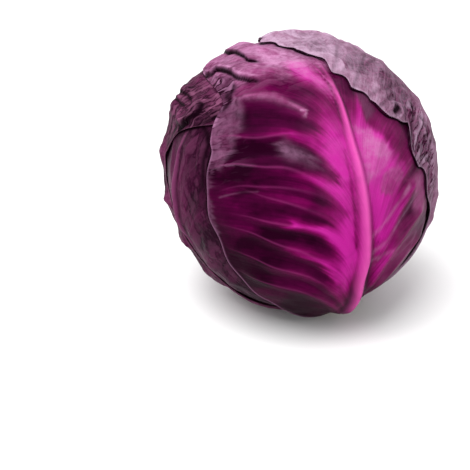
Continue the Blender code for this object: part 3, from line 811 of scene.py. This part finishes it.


# Skin of a leaf: the tone mask and its patterns choose a colour on the ramp, over which come the
# veins, the wax bloom with its painted sheen and highlights, the painted highlight of the rim, and
# the painted shade in folds and under other leaves
def leafMaterial(leaf):
    paint = leafPaint[leaf["name"]]
    board = Board(leaf["name"] + "_skin")
    solid = board.node("TexCoord", out="Object")
    flat, along = (board.node("UVMap", dict(uv_map=key)) for key in ("flat", "along"))
    tone, fine, wax, edge, shut, rib, dry = (
        board.mask(key) for key in ("tone", "fine", "wax", "edge", "shut", "rib", "dry"))
    cloud, speck = (board.grain(solid, skin[key], detail, 0.6)
                    for key, detail in (("cloud", 4), ("speck", 3)))
    threads = board.grain(board.stretched(along, skin["threads"]), 1.0, 3, 0.6, flat=True)
    strands = board.grain(board.stretched(along, skin["strands"]), 1.0, 2, 0.5, flat=True)
    warp = board.node("VectorMath", dict(operation="MULTIPLY_ADD"),
                      (board.grain(flat, skin["warp"], 2, flat=True), (skin["warpBy"],) * 3, flat))
    *fineNet, fineAmount = skin["fineNet"]
    net = (board.net(warp, *skin["net"]) + board.net(warp, *fineNet) * fineAmount).clip()
    folds = board.grain(board.stretched(warp, paint["crumple"]), 1.0, 3, 0.55, flat=True)
    fold = 1 - abs(folds * 2 - 1)
    # Painted shade along the creases of dry folds and a painted highlight on their ridges
    line, lit = board.step(fold, 0.86, 0.99) * dry, board.step(folds, 0.50, 0.66) * dry
    fibres = (threads - 0.5) * skin["threaded"] + (strands - 0.5) * skin["stranded"]
    level = (tone - line * skin["creased"] + (cloud - 0.5) * skin["clouded"]
             + (speck - 0.5) * skin["specked"] + fibres * (tone * 0.6 + 0.25))
    colour = board.ramp(level.clip(), paint["ramp"])
    colour = board.blend((net * paint["net"] + fine * skin["fineVein"]).clip(), colour,
                         paint["vein"])
    colour = board.blend((rib * (0.68 + threads * 0.35)).clip(), colour, paint["vein"])
    mottled = board.step(board.grain(solid, skin["mottling"], 5, 0.68), 0.34, 0.66)
    # Wax bloom with painted sheen, plus a painted highlight on the ridges of dry folds and less
    # film in their crease lines
    filmAndSheen = (wax * (0.22 + mottled * 0.56 + threads * 0.27) + lit * 0.35 - line * 0.25).clip()
    colour = board.blend(filmAndSheen, colour, paint["wax"])
    # Painted highlight along the rim, in the wax colour
    colour = board.blend((edge * skin["rim"]).clip(), colour, paint["wax"])
    # Painted shade in folds and under the edges of the leaves above
    colour = board.blend(shut, colour, skin["paintedShadeColour"])
    height = (net * paint["net"] + speck * 0.25 + cloud * 0.4 + threads * 0.5 + strands * 0.5
              + dry * folds * 6 - line * 1.2)
    roughness = (leaf["shine"] - 0.06 + filmAndSheen * 0.25 + speck * 0.14).clip()
    return board.finish({"Base Color": colour, "Roughness": roughness,
                         "Specular IOR Level": skin["sheen"], "Specular Tint": paint["tint"],
                         "Normal": board.bump(height, skin["relief"], skin["shown"])})


glow = dict(foot=-112, full=(-52, -12), dims=0.6, dimsOver=(15, 62), sinks=1.7)
upperPart = dict(tone=0.56, share=0.85, wax=0.98, lobeTone=-0.13, lobeWaxAndSheen=0.4, tucked=(0.21, 0.22))


# Masks. Tone is where the leaf is on its ramp: a glow by the midrib that sinks between the veins,
# over the leaf's own base tone; then its patches and its dark, bright and wax strokes, which paint
# the leaf's own colour together with painted shade and highlights; a painted shade for each facet;
# and the grooves beside the midrib darker, with their crimson colour and painted shade. Edge is a
# painted highlight along the rim, and rib the painted midrib.
def leafMasks(leaf, x, y, inside, ridge, groove, broad, shut, lit, shades, crease, uneven):
    base, onVein, top = leaf["tone"]
    drift = strandDrift(leaf, x, y)
    across = x - midline(leaf, y) + 5 * rough(x, y, 24, leaf["seed"] + 9, 3) + 0.5 * drift[0]
    leftIn, leftOut, rightIn, rightOut = leaf["glow"]
    near = np.where(across > 0, 1 - smooth(leftIn, leftOut, across),
                    1 - smooth(rightIn, rightOut, -across))
    near *= smooth(glow["foot"], np.where(across > 0, *glow["full"]), y)
    near *= 1 - glow["dims"] * smooth(*glow["dimsOver"], y)
    away = base + onVein * broad * (1 - 0.5 * smooth(28, 60, across))
    tone = top * near ** (1 + glow["sinks"] * (1 - broad)) + (1 - near) * away
    dark, bright, wax = (strokes(x, y, leaf.get(key), drift) for key in ("dark", "bright", "wax"))
    if leaf is frontLeaf:
        lobe = smooth(32, 56, x)
        there = upperPart["tone"] + upperPart["lobeTone"] * lobe
        tone += (there - tone) * upperPart["share"] * smooth(50, 74, y)
        there = upperPart["wax"] * (1 - upperPart["lobeWaxAndSheen"] * lobe)
        wax = np.maximum(wax, there * smooth(58, 86, y))
        wax, tuck = np.maximum(wax, 0.10 * near * smooth(-40, 0, y)), tucked(x, y)
        tone, wax = (old + (new - old) * tuck for old, new in zip((tone, wax), upperPart["tucked"]))
    elif leaf is crownLeaf:
        wax = np.maximum(wax, 0.32 + 0.85 * smooth(-30, 75, y))
    else:
        wax = np.maximum(wax, 0.30 + 0.3 * uneven)
    for corners, soft, toneThere, waxAndSheenThere, amount in leaf.get("patches", []):
        amount = amount * patch(x + 0.25 * drift[0], y + 0.25 * drift[1], corners, soft)
        tone, wax = tone + (toneThere - tone) * amount, wax + (waxAndSheenThere - wax) * amount
    facetShading = leaf.get("facetShading", 0.12)
    tone = (tone + bright * (1 - 0.5 * tone)) * (1 - 0.85 * dark)
    # Random unevenness, and a painted shade that makes each facet lighter or darker
    tone += 0.08 * uneven + facetShading * shades
    # Darker in the grooves beside the midrib: their crimson colour and painted shade
    tone -= 0.26 * groove * smooth(-125, -60, y) * smooth(80, 30, y)
    # Wax bloom with painted sheen, less under dark strokes and at least the painted highlight on
    # lit crests; each facet lighter or darker as painted facet shade
    wax = leaf["filmAndSheen"] * np.maximum(wax * (1 - 0.7 * dark), lit)
    wax *= 1 + 2 * facetShading * shades + 0.25 * uneven
    rib = ridge * smooth(90, 20, y) * (0.3 + 0.7 * smooth(-122, -84, y))
    return dict(tone=tone, wax=np.clip(wax, 0, 1), edge=hill(inside, 0.8), rib=rib,
                shut=shut * 0.6 + 0.08 * crease)


# Relief is flat within a cone straight down, in degrees, and low under other leaves
flattened = dict(cone=(27, 17), above=(-0.2, 0.25), past=3, fade=9)


# Shade that a leaf above throws just outside its own edge: a dark line and a soft one
def shadeOf(other, x, y, ways, seed):
    bearing, distance = flatOf(other, ways)
    outside = distance - rimOf(other, bearing)
    tight = 0.75 + 0.45 * noise(x, y, 14, seed)
    thin, soft = other.get("shadow", (0.9, 0.35))
    if other is frontLeaf:
        tight *= 1 - 0.8 * tucked(distance * np.sin(bearing), distance * np.cos(bearing))
    return tight * (hill(outside - 0.3, thin) + soft * hill(outside, 5))


# Values of a leaf's outer grid, then those of its sparse inner grid
def bothSides(values, width):
    inner = values[::sparse, ::sparse]
    return np.concatenate([values.reshape(width), inner.reshape(width)])


# Leaf: it lies on the body under it, with midrib, veins, swellings and folds on its outer
# side, a rim that thins and lifts, and all of that flat where it is pressed
def buildLeaf(index, leaf):
    x, y = leafGrid(leaf)
    ways = wayOf(leaf, x, y)
    bearing = np.arctan2(x, y)
    inside = np.maximum(rimOf(leaf, bearing) - np.hypot(x, y), 0)
    rib, ridge, groove = midribHeight(leaf, x, y)
    broad, fine = veinField(leaf, x, y)
    fold, shut, lit = foldHeight(leaf, x, y)
    uneven = rough(x, y, 22, leaf["seed"] + 5, 3)
    facetSize, facetHeight = leaf["facet"]
    folded, crease, shades = facets(x + 2 * uneven, y, facetSize, leaf["seed"] + 60,
                                    leaf.get("sharp", 9))
    height = (rib + leaf["veinHeight"] * (1.35 * broad - 0.35) * smooth(0, 14, inside)
              + 0.15 * fine + bulgeHeight(leaf, x, y) + fold + facetHeight * folded
              + leaf["crinkle"] * rough(x, y, 13, leaf["seed"] + 3, 3))
    lift = leaf["lift"] * np.exp(-inside / 7) * (0.6 + 0.4 * np.sin(leaf["wave"][1] * bearing))
    above, shade = np.zeros_like(x), np.zeros_like(x)
    for other in leaves[index + 1:]:
        above = np.maximum(above, cover(other, ways, flattened["past"], flattened["fade"]))
        shade = np.maximum(shade, shadeOf(other, x, y, ways, index + 80))
    free = 1 - smooth(*np.cos(np.radians(flattened["cone"])), -ways[..., 2])
    height = height * free
    height = height + (np.clip(height, *flattened["above"]) - height) * above
    lift = lift * free * (1 - above)
    rimward = smooth(16, 0, inside) * smooth(-110, -85, y)
    thick = layers["thick"] - (layers["thick"] - layers["edge"]) * rimward
    gap = layers["gap"] - (layers["gap"] - layers["edgeGap"]) * rimward
    floor = radiusUnder(index, ways) + gap
    body = np.maximum(thick + height * (1 - 0.75 * smooth(6, 0, inside)), layers["edge"])
    top = np.minimum(floor + lift + body, head["height"] / np.maximum(-ways[..., 2], 0.1))
    inner = (ways * (floor + lift)[..., None])[::sparse, ::sparse]
    points = np.concatenate([(ways * top[..., None]).reshape(-1, 3), inner.reshape(-1, 3)])
    masks = leafMasks(leaf, x, y, inside, ridge, groove, broad, shut, lit, shades, crease, uneven)
    # The fold mask also takes the painted shade that the leaves above throw
    masks.update(shut=np.clip(np.maximum(masks["shut"], shade), 0, 1), dry=dryness(leaf, x, y),
                 fine=fine * (0.1 + 0.35 * smooth(18, 45, np.abs(x))))
    if leaf is crownLeaf:
        masks["fine"] = np.maximum(masks["fine"], 0.55 * crease)
    if leaf is frontLeaf:
        # No painted rim highlight on the tucked corner
        masks["edge"] *= 1 - tucked(x, y)
    masks = {key: bothSides(value, -1) for key, value in masks.items()}
    maps = dict(flat=(x, y), along=(np.abs(x), betweenVeins(leaf, x, y)))
    maps = {key: millimetre * bothSides(np.stack(pair, -1), (-1, 2)) for key, pair in maps.items()}
    item = makeMesh(leaf["name"] + "_blade", points, *leafFaces(*x.shape), maps, masks)
    item.data.materials.append(leafMaterial(leaf))
    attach(item, "root")
    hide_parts(leaf["name"])
    return item


for number, entry in enumerate(leaves):
    made = buildLeaf(number, entry)
    print("leaf:", made.name, len(made.data.polygons), "faces")


# Skin of a plain piece: two colours mixed by a cloud, with specks seven times as fine
def plainSkin(name, dark, light, scale, roughness, bump):
    board = Board(name)
    place = board.node("TexCoord", out="Object")
    cloud, speck = board.grain(place, scale, 4, 0.6), board.grain(place, scale * 7, 3, 0.6)
    colour = board.blend(board.step(cloud, 0.3, 0.7), dark, light)
    return board.finish({"Base Color": colour, "Roughness": (roughness + speck * 0.15).clip(),
                         "Normal": board.bump(cloud + speck * 0.4, bump)})


heartSkin = dict(name="heart_skin", dark=(0.02, 0.002, 0.010), light=(0.13, 0.010, 0.065),
                 scale=60, roughness=0.45, bump=0.0006)
stumpFlesh = dict(name="stump_flesh", dark=(0.50, 0.42, 0.28), light=(0.76, 0.70, 0.54),
                  scale=220, roughness=0.55, bump=0.0004)
for piece, look in (("heart", heartSkin), ("stem", stumpFlesh)):
    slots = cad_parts[piece].data.materials
    slots.clear()
    slots.append(plainSkin(**look))
    print("skin:", piece)

studio = dict(
    floorSize=6.0, floorColour=(0.90, 0.90, 0.90), sky=0.80, aim=(0, 0, 0.08),
    key=dict(place=(-0.34, -0.45, 1.30), size=1.2, power=26.0),
    fill=dict(place=(0.45, -1.35, 0.70), size=1.0, power=1.5),
)
camera = dict(lens=90.0, sensor=36.0, pitch=25.07, eye=(-0.0381126, -0.63970467, 0.33996928))


# Floor: one square
def makeFloor():
    half = studio["floorSize"] / 2
    mesh = bpy.data.meshes.new("floor")
    mesh.from_pydata([(-half, -half, 0), (half, -half, 0), (half, half, 0), (-half, half, 0)],
                     [], [(0, 1, 2, 3)])
    mesh.materials.append(Board("floor_paper").finish(
        {"Base Color": studio["floorColour"], "Roughness": 0.9, "Specular IOR Level": 0.1}))
    added("floor", mesh)


# Square lamp at its place, turned toward the aim
def makeLight(name, place, size, power):
    lamp = bpy.data.lights.new(name, "AREA")
    lamp.shape, lamp.size, lamp.energy = "SQUARE", size, power
    item = added(name, lamp)
    item.location = place
    way = Vector(studio["aim"]) - Vector(place)
    item.rotation_euler = way.to_track_quat("-Z", "Y").to_euler()


# Camera at its eye, looking down by pitch
def makeCamera():
    lens = bpy.data.cameras.new("photo_camera")
    lens.lens, lens.sensor_width, lens.sensor_fit = camera["lens"], camera["sensor"], "HORIZONTAL"
    item = added("photo_camera", lens)
    item.location = camera["eye"]
    item.rotation_euler = (np.radians(90 - camera["pitch"]), 0, 0)
    bpy.context.scene.camera = item


makeFloor()
makeLight("key", **studio["key"])
makeLight("fill", **studio["fill"])
world = bpy.data.worlds.new("room")
world.use_nodes = True
sky = world.node_tree.nodes["Background"].inputs
sky["Color"].default_value, sky["Strength"].default_value = (1, 1, 1, 1), studio["sky"]
bpy.context.scene.world = world
bpy.context.scene.view_settings.view_transform = "Standard"
makeCamera()
print("studio ready")
